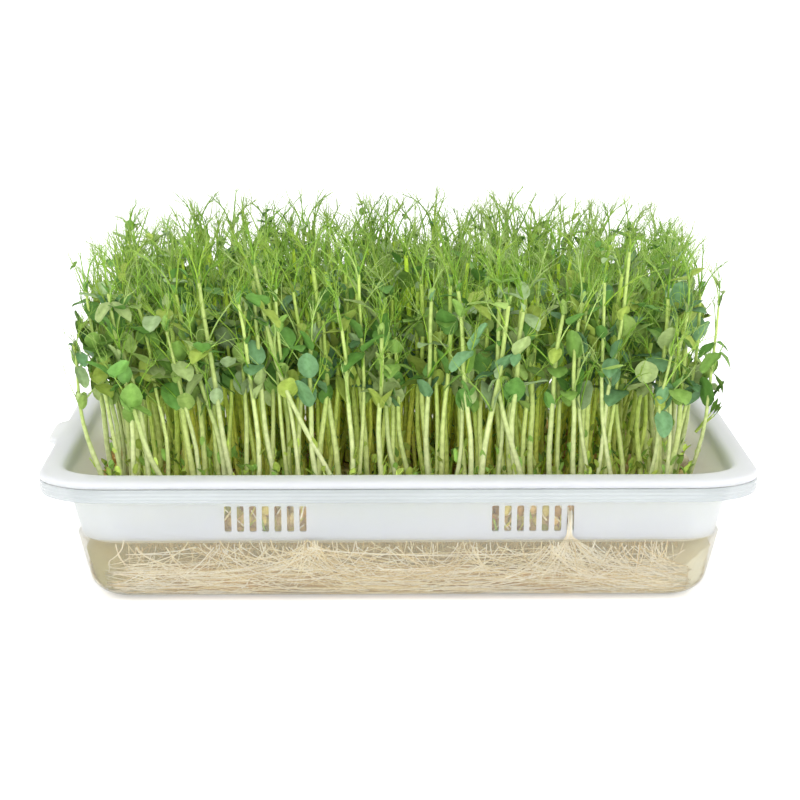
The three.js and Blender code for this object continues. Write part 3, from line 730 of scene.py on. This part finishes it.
# Roots
def roots():
    piece = Piece()
    core = foot_edge(5, CORE_INSET)
    core += [on_wall(MAT_TOP - 1, CORE_INSET + 0.3), on_wall(MAT_TOP, CORE_INSET + 5)]
    x, y, z = np.moveaxis(evenly(shell(core), 220), -1, 0)
    lumps = np.sin(x / 5.3 + z / 3) + np.sin(x / 2.9 + y / 7 + 1) + np.sin(y / 4.7 + z / 2)
    inward = 1 - 0.0022 * (1 + lumps / 3)
    high = np.clip((z - 12) / 5, 0, 1)
    end = high * np.clip((np.abs(x) - 116) / 22, 0, 1)
    rise = END_RISE * end
    hills = 2.2 * np.sin(x / 19 + 1) + 1.4 * np.sin(x / 7.3 + y / 11)
    top = np.maximum(z + high * hills * (1 - end) + rise, 1.95)
    along = x * (0.6 + 0.4 * inward) + np.sign(x) * rise * DRAFT
    core = np.stack([along, y * (2 * inward - 1), top], -1)
    left, right = (np.clip((side * core[..., :1] - 100) / 40, 0, 1) for side in (-1, 1))
    patches = 1 + 0.16 * (np.sin(x / 13 + 2) + np.sin(x / 5.9 + z / 4))[..., None]
    middle = MAT_COLOUR * (1 - left - right) * patches
    piece.grids(core, middle + MAT_LEFT_COLOUR * left + MAT_RIGHT_COLOUR * right)

    def strands(count, where, steps=12, radius=(0.22, 0.42), tints=ROOT_COLOURS, twice=False):
        paths = np.stack(where(count, np.linspace(0, 1, steps)), -1)
        thick = drawn(*radius, count) * np.linspace(1, 0.45, steps)
        tint = (picked(tints, count) * drawn(0.8, 1.05, count))[:, None, None]
        shape = tubes(paths, thick, 3)
        piece.grids(shape, tint)
        if twice:
            piece.grids(shape * (-1, -1, 1), tint)

    def waves(count, t, size):
        total = np.zeros((count, len(t)))
        for k in (1, 2, 4):
            total += size / k * np.sin(k * 2.6 * t + drawn(0, 6.28, count))
        return total

    def by_corner(a, half_a, z):
        """How far out a strand lies that goes along the wall and round its corners"""
        out = skin_out(z, STRAND_INSET)
        radius = FOOT_RADIUS + RADIUS_GROWTH * out
        past = np.maximum(np.abs(a) - (half_a + out - radius), 0)
        return out - radius + np.sqrt(np.maximum(radius**2 - past**2, 0))

    def by_wall(axis, side):
        half_a, half_b = (HALF_X, HALF_Y) if axis == "x" else (HALF_Y, HALF_X)

        def where(count, t):
            start = drawn(-half_a + 10, half_a - 10, count)
            run = drawn(20, 90, count) * rng.choice([-1, 1], (count, 1))
            drop = rng.random((count, 1)) < 0.45
            low = drawn(2.2, 17, count)
            high = np.where(drop, drawn(18, 27, count), low + drawn(-9, 9, count))
            fall = np.exp(-t * drawn(1, 7, count))
            z = low + (high - low) * fall + waves(count, t, 1.2)
            z = np.clip(z, 2.05, 27.8)
            a = start + run * t ** np.where(drop, 1.5, 1.0)
            a = np.where(np.abs(a) > half_a - 6, 2 * (half_a - 6) * np.sign(a) - a, a)
            deep = drawn(0, 0.5, count) + 0.1 * np.abs(waves(count, t, 1))
            deep = deep + np.clip((z - 16) / 5, 0, 1) * drawn(0, 7, count)
            b = half_b + by_corner(a, half_a, z) - deep
            return (a, side * b, z) if axis == "x" else (side * b, a, z)

        return where

    strands(190, by_wall("x", -1))
    strands(170, by_wall("x", 1))
    strands(80, by_wall("y", -1), twice=True)
    strands(90, by_wall("y", 1), twice=True)

    def tufts(count, t):
        slot = rng.integers(0, FLOOR_SLOTS, (count, 1))
        row = np.array(FLOOR_SLOT_ROWS)[rng.integers(0, 3, (count, 1))]
        slot = np.where(rng.random((count, 1)) < 0.35, slot // 3 * 3 + 1, slot)
        x = (slot - (FLOOR_SLOTS - 1) / 2) * FLOOR_SLOT_PITCH + drawn(-1, 1, count)
        y = row + rng.choice([-19, -8, 4, 16], (count, 1)) + drawn(-2.5, 2.5, count)
        z = 30.2 + (drawn(9, 22, count) - 30.2) * t ** drawn(0.6, 1.2, count)
        fan = rng.normal(0, 15, (count, 1)) * t ** drawn(1.1, 2.8, count)
        side = drawn(-14, 14, count) * t**2
        x = np.clip(x + fan, -134, 134)
        y = np.clip(y + side, -92, 92)
        return x, y, z

    strands(170, tufts, 9, (0.22, 0.4))

    def curtain(count, t):
        x0 = drawn(-132, 132, count)
        low = drawn(8, 20, count)
        z = 28.6 + (low - 28.6) * t ** drawn(0.6, 1.2, count)
        x = np.clip(x0 + rng.normal(0, 12, (count, 1)) * t**1.5, -134, 134)
        y = -93 + drawn(0, 16, count) + rng.normal(0, 3, (count, 1)) * t
        return x, y, z

    # A curtain of browner strands at the front under the basket: partly the roots' own tone, partly
    # painted shade under the basket's floor
    strands(460, curtain, 7, (0.3, 0.6), DEEP_ROOT_AND_SHADE_COLOURS)

    def sweeps(count, t):
        """Long strands from the basket's floor that sag along the wall"""
        start = rng.choice([-44, -40, 74], (count, 1)) + rng.normal(0, 3, (count, 1))
        start = np.where(rng.random((count, 1)) < 0.3, start, drawn(-125, 125, count))
        run = drawn(50, 130, count) * rng.choice([-1, 1, 1], (count, 1))
        x = start + run * t
        x = np.where(np.abs(x) > 132, 264 * np.sign(x) - x, x)
        sag = drawn(3, 20, count)
        end = drawn(4, 27, count)
        z = 28 + (end - 28) * t - sag * np.sin(np.pi * t**0.7)
        z = np.clip(z + waves(count, t, 0.7), 2.2, 28)
        y = HALF_Y + by_corner(x, HALF_X, z) - drawn(0, 0.6, count)
        return x, -y, z

    strands(120, sweeps, 16, (0.16, 0.36), twice=True)

    def front_tufts(count, t):
        spot = np.array([-63, -44, -40, 34, 74])[rng.integers(0, 5, (count, 1))]
        spot = np.where(rng.random((count, 1)) < 0.35, spot, drawn(-136, 132, count))
        x0 = spot + rng.normal(0, 2, (count, 1))
        z0 = drawn(27.6, 31.8, count)
        low = drawn(6, 17, count)
        z = z0 + (low - z0) * t ** drawn(0.5, 1.1, count)
        fan = rng.normal(0, 20, (count, 1)) * t**1.4
        x = np.clip(x0 + fan, -137, 137)
        b = HALF_Y + by_corner(x, HALF_X, z)
        b = b - drawn(0, 0.8, count) * (0.4 + 0.6 * t)
        return x, -b, z

    strands(190, front_tufts, 10, (0.16, 0.34), twice=True)

    def under(count, t):
        x0 = drawn(-120, 120, count)
        y0 = drawn(-75, 75, count)
        way = drawn(0, 6.28, count)
        run = drawn(20, 60, count)
        x = np.clip(x0 + run * np.cos(way) * t + waves(count, t, 2), -127, 127)
        y = np.clip(y0 + run * np.sin(way) * t + waves(count, t, 2), -82, 82)
        return x, y, 4.65 + np.abs(waves(count, t, 0.25))

    strands(200, under, 9)

    def vent_roots(count, t):
        k = drawn(-1, 1, count)
        z0 = drawn(38, 46, count)
        low = drawn(6, 13, count)
        z = z0 + (low - z0) * t
        below = np.clip((34 - z) / 22, 0, 1)
        fan = (k * 30 + 12) * below**1.3 + k * 2.5 * t
        y = -(HALF_Y - WALL - 0.62 + z * DRAFT)
        sink = 2.6 * (1 - np.clip(t * 7, 0, 1)) + below**1.5 * drawn(0, 1, count)
        inset = 2.0 - 0.85 * np.clip((30 - z) / 4, 0, 1)
        y = np.where(z < 30, -HALF_Y - skin_out(z, 0) + inset / math.cos(DRAFT_ANGLE), y)
        return LAST_VENT_X + drawn(-0.8, 0.8, count) + fan, y + sink, z

    strands(46, vent_roots, 16, (0.16, 0.28), ROOT_COLOURS[:3])

    # An air bubble on the wall, and bits of seed coat
    wall_y = -(HALF_Y + wall_out(25, WALL) - 2.2)
    piece.grids(BALL * 1.5 + (-82, wall_y, 25), (1, 1, 1))
    for dx, dz in ((0, 0), (2.2, -2.6), (0.6, 2.4), (2.6, 0.4)):
        bit = BALL * (0.7, 0.5, 0.5) + (93 + dx, wall_y, 25 + dz)
        piece.grids(bit, linear("4A3824"))
    finished(piece.build("roots", root_look), ["root_mat"])


def swing(draw, reach):
    return (draw() * 2 - 1) * reach


# Shoots: the places and forms of those in the CAD part, and more between them
def cells():
    found = []
    for row in range(CELL_ROWS):
        columns = CELL_COLUMNS + row % 2
        half_x = STAND_X / columns
        for column in range(columns):
            x = (2 * column + 1) * half_x - STAND_X
            y = (2 * row + 1) * CELL_HALF_Y - STAND_Y
            number = len(found) + 1
            draw = random_from(number)
            turn = 2 * math.pi * draw()
            crown = np.array([x + swing(draw, CROWN_DRIFT), y + swing(draw, CROWN_DRIFT), 0])
            cell = dict(number=number, row=row, x=x, y=y, half_x=half_x, turn=turn, crown=crown)
            found.append(cell)
    return found


def spread(x, y, z):
    up = np.maximum(z - BED_TOP, 0)
    sway = SWAY * (up / 120) ** 2 * np.sin(y / 34)
    return x * (1 + SPREAD_X * up) + sway, y * (1 + SPREAD_Y * up), z


def eased(v, start, limit):
    """The values, those past start drawn in so that none passes limit"""
    room = limit - start
    over = np.maximum(np.abs(v) - start, 0)
    return np.where(over > 0, np.sign(v) * (start + room * np.tanh(over / room)), v)


def settled(p):
    """The leaning stand, with no tendril past its outline"""
    x, y, z = spread(*np.moveaxis(p, -1, 0))
    dip = 13 * np.clip(np.abs(x) / 160, 0, 1) ** 3
    z = eased(z + dip, 168, 181) - dip
    return np.stack([eased(x, 140, 158), eased(y, 100, 113), z], -1)


def heading(azimuth, rise):
    level = math.cos(rise)
    return np.array([level * math.cos(azimuth), level * math.sin(azimuth), math.sin(rise)])


def room_of(cell, turn):
    walls = []
    half_x = cell["half_x"]
    for azimuth, distance in (
        (0, half_x),
        (math.pi / 2, CELL_HALF_Y),
        (math.pi, half_x),
        (-math.pi / 2, CELL_HALF_Y),
        (turn + math.pi, 0),
    ):
        way = heading(azimuth, 0)
        walls.append((way, way[0] * cell["x"] + way[1] * cell["y"] + distance - CELL_MARGIN))
    return walls


def bent(root, azimuth, rise, length, bend):
    """The elbow and the tip of a leaf stalk"""
    elbow = root + heading(azimuth, rise + bend) * length / 2
    return elbow, elbow + heading(azimuth, rise - bend) * length / 2


def share_inside(room, root, points):
    share = 1.0
    for way, limit in room:
        for p in points:
            reach = way @ (p - root)
            if reach > 0:
                share = min(share, (limit - way @ root) / reach)
    return share


# What a stand of shoots is gathered in before its grids are made
class Stand:
    def __init__(self):
        self.stems, self.leaves, self.stalks, self.curls = [], [], [], []

    def leaf(self, root, azimuth, rise, length, width, tint, cup=3.0, curl=None, clasp=0.0):
        along, across = heading(azimuth, rise), heading(azimuth + math.pi / 2, 0)
        size = 1 - 0.7 * np.clip((root[2] - 140) / 24, 0, 1)
        length, width = length * size, width * size
        curl = rng.uniform(0.0, 0.2) * length if curl is None else curl
        self.leaves.append((root, along, across, length, width, cup, curl, clasp, tint))

    def stalk(self, root, azimuth, rise, length, bend, tint, fork, leaflets, squeeze=1, thick=1):
        """A leaf stalk that ends in a fork of tendrils, with or without leaflets"""
        flat = np.array([squeeze, squeeze, 1])
        elbow, tip = ((p - root) * flat + root for p in bent(root, azimuth, rise, length, bend))
        t = np.linspace(0, 1, 6)[:, None]
        path = root * (1 - t) ** 2 + (2 * elbow - (root + tip) / 2) * 2 * t * (1 - t) + tip * t**2
        self.stalks.append((path, 0.46 * thick, 0.22 * thick, tint))
        way = unit(tip - elbow)
        for k in range(fork):
            share = (1.0, 1.0, 0.8, 0.8, 0.6, 0.6, 1.0, 0.8)[k]
            start = path[round(share * 5)]
            side = unit(np.cross(way, rng.normal(size=3)))
            go = unit(way + side * rng.uniform(0.1, 0.7) + np.array([0, 0, rng.uniform(0, 0.5)]))
            axis = unit(np.cross(go, rng.normal(size=3)))
            turning = rng.uniform(0, 0.7) if rng.random() < 0.82 else rng.uniform(1.8, 6)
            reach = rng.uniform(8, 19) if tip[2] < 150 else rng.uniform(7, 16)
            self.curls.append((start, go, axis, turning, reach, tint * rng.uniform(0.9, 1.15)))
        if rng.random() < leaflets:
            base = path[rng.integers(2, 5)]
            size = rng.uniform(9, 15)
            leaf_tint = tint_of(LEAF_COLOURS)
            for side in (-1, 1):
                turn, rise = azimuth + side * rng.uniform(0.8, 1.5), rng.uniform(-0.9, 1.3)
                self.leaf(base, turn, rise, size, size * rng.uniform(0.66, 0.8), leaf_tint)


def stem_path(foot, head, height, bow):
    def centre(t):
        p = foot + (head - foot) * (1.5 * t - 0.5 * t * t)
        x = p[0] + bow * math.sin(math.pi * t)
        return np.array([x, p[1], BED_TOP - STEM_SUNK + (height + STEM_SUNK) * t])

    return centre


def cad_shoot(stand, cell, k):
    draw = random_from(10 * cell["number"] + k)
    turn = cell["turn"] + math.pi * k
    room = room_of(cell, turn)
    foot = cell["crown"] + heading(turn, 0) * FOOT_SPACING
    half = np.array([cell["half_x"], CELL_HALF_Y, 0])
    head = np.array([cell["x"], cell["y"], 0]) + HEAD_SHARE * half * heading(turn, 0)
    end_dip = 1 - END_DIP * abs(cell["x"] / STAND_X) ** 3
    height = (SHOOT_LOW + (SHOOT_HIGH - SHOOT_LOW) * draw()) * end_dip
    centre = stem_path(foot, head, height, swing(draw, STEM_BOW))
    low_node = LOW_NODE + swing(draw, NODE_SHIFT)
    high_node = HIGH_NODE + swing(draw, NODE_SHIFT)
    inward = turn + math.pi
    third = 2 * math.pi / 3

    def some(least_more):
        return least_more[0] + least_more[1] * draw()

    def way(turned):
        return inward + turned + swing(draw, LEAN)

    def base(t, facing):
        radius = STEM_RADIUS + (TIP_RADIUS - STEM_RADIUS) * t
        return centre(t + NODE_HEIGHT / 2) + heading(facing, 0) * radius * 0.5

    def leaf(t, turned, sizes):
        azimuth, rise, length = way(turned), some(LEAF_RISE), some(sizes)
        root = base(t, inward + turned)
        along, across = heading(azimuth, rise), heading(azimuth + math.pi / 2, 0)
        up = np.cross(along, across)
        width = BLADE_SHAPE * length
        edges = [
            root + along * u * length + across * side * v * width + up * BLADE_CUP * v
            for u, v in ((0.34, 0.45), (0.74, 0.38))
            for side in (-1, 1)
        ]
        share = share_inside(room, root, [root + along * length] + edges)
        size = length * share * 0.82
        tint = tint_of(LEAF_COLOURS)
        stand.leaf(root, azimuth, rise + 0.3, size, size * 0.7, tint, clasp=CLASP)

    def tendril(t, turned, rises, sizes, bend, fork, leaflets):
        azimuth, rise, length = way(turned), some(rises), some(sizes)
        root = base(t, inward + turned)
        share = share_inside(room, root, bent(root, azimuth, rise, length, bend))
        tint = tint_of(TENDRIL_COLOURS)
        stand.stalk(root, azimuth, rise, length, bend, tint, fork, leaflets, share)

    leaf(low_node, -third / 2 - SPLAY, LOW_LEAF)
    leaf(low_node, third / 2 + SPLAY, LOW_LEAF)
    tendril(low_node, math.pi, STALK_RISE, STALK, 0, 4, 0.6)
    leaf(high_node, third - SPLAY, HIGH_LEAF)
    leaf(high_node, SPLAY - third, HIGH_LEAF)
    tendril(high_node, 0, STALK_RISE, STALK, 0, 5, 0.4)
    tendril(TOP_NODE, 0, TENDRIL_RISE, TOP_TENDRIL, TENDRIL_BEND, 6, 0.15)
    tendril(TOP_NODE, third, TENDRIL_RISE, TOP_TENDRIL, TENDRIL_BEND, 6, 0.15)
    azimuth, length = way(-third), some(STEM_TIP)
    root = centre(TOP_NODE + NODE_HEIGHT)
    stand.stalk(root, azimuth, 1.25, length, 0, tint_of(TENDRIL_COLOURS), 4, 0)
    dress(stand, centre, TOP_NODE + NODE_HEIGHT)


def dress(stand, centre, top):
    """The stem itself, its bracts low down, and the young leaves round its tip"""
    t = np.linspace(0, top, STEM_STEPS)
    path = np.array([centre(x) for x in t])
    sway = np.sin(t[:, None] * rng.uniform(4, 9, 2) + rng.uniform(0, 6, 2))
    path[:, :2] += 1.1 * np.sin(np.pi * t)[:, None] * sway
    pale = STEM_PALE * rng.uniform(0.85, 1.08)
    green = tint_of([STEM_GREEN])
    thick = rng.uniform(0.7, 1.05)
    stand.stems.append((path, STEM_RADIUS * thick, TIP_RADIUS * thick, pale, green))
    for level in LOW_BRACTS:
        azimuth = any_way()
        root = centre(level + rng.uniform(-0.04, 0.04)) + heading(azimuth, 0)
        size = rng.uniform(3, 7)
        # The bract's colour is lightened: painted light in the shade low in the stand
        tint = tint_of(BRACT_COLOURS) * BRACT_PAINTED_LIGHT
        stand.leaf(root, azimuth, rng.uniform(0.9, 1.4), size, size * 0.55, tint, 0.8, 0.2)
    for _ in range(3):
        azimuth = any_way()
        size = rng.uniform(5, 9)
        rise = rng.uniform(1.15, 1.5)
        stand.leaf(centre(top), azimuth, rise, size, size * 0.45, tint_of(LEAF_COLOURS), 2)


def more_shoot(stand, foot, head, height, levels, tall=False):
    """A shoot between those of the CAD part: at each node two upright stipules that clasp the
    stem, and a stalk with leaflets and tendrils"""
    foot, head = np.array([*foot, 0.0]), np.array([*head, 0.0])
    centre = stem_path(foot, head, height, rng.uniform(-4, 4))
    facing = any_way()
    for number, level in enumerate(levels):
        at = centre(max(level + rng.uniform(-0.08, 0.08), LEAFLESS / height))
        turn = facing + number * math.pi
        size = rng.uniform(9, 16) - 1.5 * number
        tint = tint_of(LEAF_COLOURS)
        for side in (-1, 1):
            azimuth = turn + side * rng.uniform(0.9, 1.5)
            root = at + heading(azimuth, 0) * 0.4
            upright = number == 0 or rng.random() < 0.5
            rise = rng.uniform(0.95, 1.45) if upright else rng.uniform(-1.2, 0.1)
            width = size * rng.uniform(0.6, 0.78)
            stand.leaf(root, azimuth, rise, size, width, tint, 2.5, clasp=CLASP)
        rise = rng.uniform(0.7, 1.15)
        tint = tint_of(TENDRIL_COLOURS)
        stand.stalk(at, turn + math.pi, rise, rng.uniform(18, 28), 0.1, tint, 4, 0.6)
    for _ in range(2):
        turn, rise = any_way(), rng.uniform(1.0, 1.45)
        length = rng.uniform(14, 24) if tall else rng.uniform(10, 18)
        stand.stalk(centre(0.97), turn, rise, length, 0.15, tint_of(TENDRIL_COLOURS), 7, 0.2)
    dress(stand, centre, 0.985)


# Low young shoots, in the light between the stems
def young_shoot(stand, x, y):
    foot = np.array([x, y, BED_TOP - 2])
    way = heading(any_way(), rng.uniform(1.1, 1.5))
    height = rng.uniform(6, 22)
    path = foot + way * np.linspace(0, 1, STEM_STEPS)[:, None] * height
    tint = tint_of([STEM_GREEN, LEAF_COLOURS[4]])
    stand.stems.append((path, 0.9, 0.45, tint, tint))
    for share in (0.8, 1.0, 1.0):
        azimuth = any_way()
        size = rng.uniform(3, 6.5)
        # The bract's colour is lightened: painted light in the shade low in the stand
        tint = tint_of(BRACT_COLOURS) * BRACT_PAINTED_LIGHT
        root = foot + way * share * height
        stand.leaf(root, azimuth, rng.uniform(0.7, 1.4), size, size * 0.6, tint, 2)


def columns_of(rows):
    return [np.array(column) for column in zip(*rows)]


def build_stand(stand, name, nodes):
    piece = Piece()
    paths, low, high, pale, green = columns_of(stand.stems)
    # Stems near the stand's edge get painted shade and stems deep inside it get painted light,
    # mixed by how far in they stand
    margin = ((STAND_X, STAND_Y) - np.abs(paths[:, 0, :2])).min(1)
    deep = np.clip((margin - 10) / 40, 0, 1)[:, None, None, None]
    painted_light_and_shade_gain = (1 - deep) * STEM_EDGE_PAINTED_SHADE + deep * STEM_INSIDE_PAINTED_LIGHT
    mix = np.clip(np.linspace(0, 1.5, STEM_STEPS), 0, 1)[:, None, None]
    tint = (pale[:, None, None] * (1 - mix) + green[:, None, None] * mix) * painted_light_and_shade_gain
    piece.grids(settled(tapering(paths, low, high, STEM_SIDES)), np.minimum(tint, 1))

    *form, tint = columns_of(stand.leaves)
    small = form[3] < SMALL_LEAF
    for some, rows, columns in ((~small, 7, 5), (small, 5, 3)):
        shape = blades(*(a[some] for a in form), rows, columns)
        vein = np.ones(columns)
        vein[columns // 2] = VEIN_GAIN
        piece.grids(settled(shape), tint[some][:, None, None] * vein[:, None], closed=False)

    paths, low, high, tint = columns_of(stand.stalks)
    piece.grids(settled(tapering(paths, low, high, 4)), tint[:, None, None])

    *form, tint = columns_of(stand.curls)
    straight = form[3] < 1
    for some, steps in ((straight, 5), (~straight, 9)):
        paths = curls(*(a[some] for a in form), steps)
        shape = tubes(paths, np.linspace(0.22, 0.09, steps), 3)
        piece.grids(settled(shape), tint[some][:, None, None])
    finished(piece.build(name, leaf_look), nodes)


# Shoots seen one by one in the picture: foot, head, height, nodes
SINGLE_SHOOTS = [
    ((-24, -96), (-60, -92), 116, (0.5, 0.78)),
    ((34, -95), (26, -95), 104, (0.4, 0.62, 0.85)),
    ((92, -92), (99, -90), 122, (0.5, 0.8)),
    ((-76, -94), (-84, -94), 108, (0.42, 0.7)),
    ((62, -96), (44, -94), 100, (0.48, 0.72)),
]


def shoots_between(stand, x, y):
    edge = abs(x) > STAND_X - EDGE_BAND or abs(y) > STAND_Y - EDGE_BAND
    leaning = 20 if rng.random() < 0.12 else 5
    head_x = np.clip(x + rng.normal(0, leaning), -STAND_X, STAND_X)
    head_y = np.clip(y + rng.normal(0, 5), -STAND_Y, STAND_Y)
    tall = rng.random() < 0.3
    heights = (SHOOT_LOW, SHOOT_HIGH - 4) if tall else (76, SHOOT_LOW + 3)
    height = rng.uniform(*heights)
    height *= 1 - END_DIP * abs(x / STAND_X) ** 3 + 0.035 * math.sin(x / 9 + y / 31)
    levels = (0.52, 0.69, 0.85) if edge else (0.58, 0.81)
    more_shoot(stand, (x, y), (head_x, head_y), height, levels, tall)
    young_shoot(stand, x + rng.uniform(-6, 6), y + rng.uniform(-5, 5))


# The leafy stem that leans out of the stand at the right
def leaning_stem(stand):
    outer = np.array([141, -62, 74])
    for turn in (-0.4, 0.1, 0.5):
        stand.stalk(outer, turn, 0.7, 14, 0.1, STEM_GREEN, 0, 0, thick=1.6)
        stand.leaf(outer + heading(turn, 0.7) * 13, turn, 0.6, 13, 6, LEAF_COLOURS[1], 2)


def stand_of_shoots():
    found = cells()
    spots = []
    for row in range(int(2 * STAND_Y / BETWEEN_Y)):
        for column in range(int(2 * STAND_X / BETWEEN_X)):
            x = -STAND_X + (column + 0.5 + 0.5 * (row % 2)) * BETWEEN_X + rng.uniform(-3, 3)
            y = -STAND_Y + (row + 0.5) * BETWEEN_Y + rng.uniform(-3, 3)
            if abs(x) < STAND_X - 7:
                spots.append((x, y))
    for row in range(CELL_ROWS):
        low = (row - CELL_ROWS / 2) * 2 * CELL_HALF_Y
        high = low + 2 * CELL_HALF_Y
        for side, label in ((-1, "left"), (1, "right")):
            part = [c for c in found if c["row"] == row and (c["x"] < 0) == (side < 0)]
            stand = Stand()
            for cell in part:
                for k in (0, 1):
                    cad_shoot(stand, cell, k)
            for x, y in spots:
                if low <= y < high and (x < 0) == (side < 0):
                    shoots_between(stand, x, y)
            if row == 0:
                for foot, head, height, levels in SINGLE_SHOOTS:
                    if (foot[0] < 0) == (side < 0):
                        more_shoot(stand, foot, head, height, levels, True)
            if row == 0 and side > 0:
                leaning_stem(stand)
            nodes = [f"shoots_{c['number']:02d}" for c in part]
            build_stand(stand, f"stand_{row + 1}_{label}", nodes)


outer_tray()
basket()
water()
seed_bed()
roots()
stand_of_shoots()


# Studio: pale floor, soft light, and the camera at the photograph's angle
def studio():
    bpy.ops.mesh.primitive_plane_add(size=160, location=(0, 0, -0.0005))
    floor = bpy.context.object
    floor.name = "floor"
    paper = material("floor", 0.9, mottled("FCFCFC", "FFFFFF", 2))
    shader = paper.node_tree.nodes["Principled BSDF"]
    give(shader, {"Emission Color": (1, 1, 1, 1), "Emission Strength": 0.4})
    floor.data.materials.append(paper)
    world = bpy.data.worlds.new("studio")
    bpy.context.scene.world = world
    world.use_nodes = True
    give(world.node_tree.nodes["Background"], {"Color": (1, 1, 1, 1), "Strength": 1.0})
    for name, place, size, power in (
        ("key", (-1.2, -1.5, 1.9), 1.2, 10),
        ("fill", (1.5, -1.3, 1.2), 1.6, 6),
        ("front", (0.1, -2.2, 0.25), 1.4, 22),
        ("top", (0.1, 0.5, 2.2), 1.6, 9),
    ):
        light = bpy.data.lights.new(name, "AREA")
        light.size = size
        light.energy = power
        lamp = placed(name, light)
        lamp.location = place
        x, y, z = np.array([0, 0, 0.09]) - place
        turn = math.atan2(y, x) - math.pi / 2
        lamp.rotation_euler = (math.atan2(math.hypot(x, y), -z), 0, turn)
    lens = bpy.data.cameras.new("camera")
    lens.sensor_width = SENSOR
    lens.lens = FOCAL_PIXELS * SENSOR / PICTURE_PIXELS
    camera = placed("camera", lens)
    camera.location = (-0.014, -1.317, 0.328)
    camera.rotation_euler = (math.radians(90 - CAMERA_DOWN), 0, math.radians(CAMERA_ASIDE))
    bpy.context.scene.camera = camera
    bpy.context.scene.view_settings.view_transform = "Standard"


studio()
bpy.context.view_layer.update()
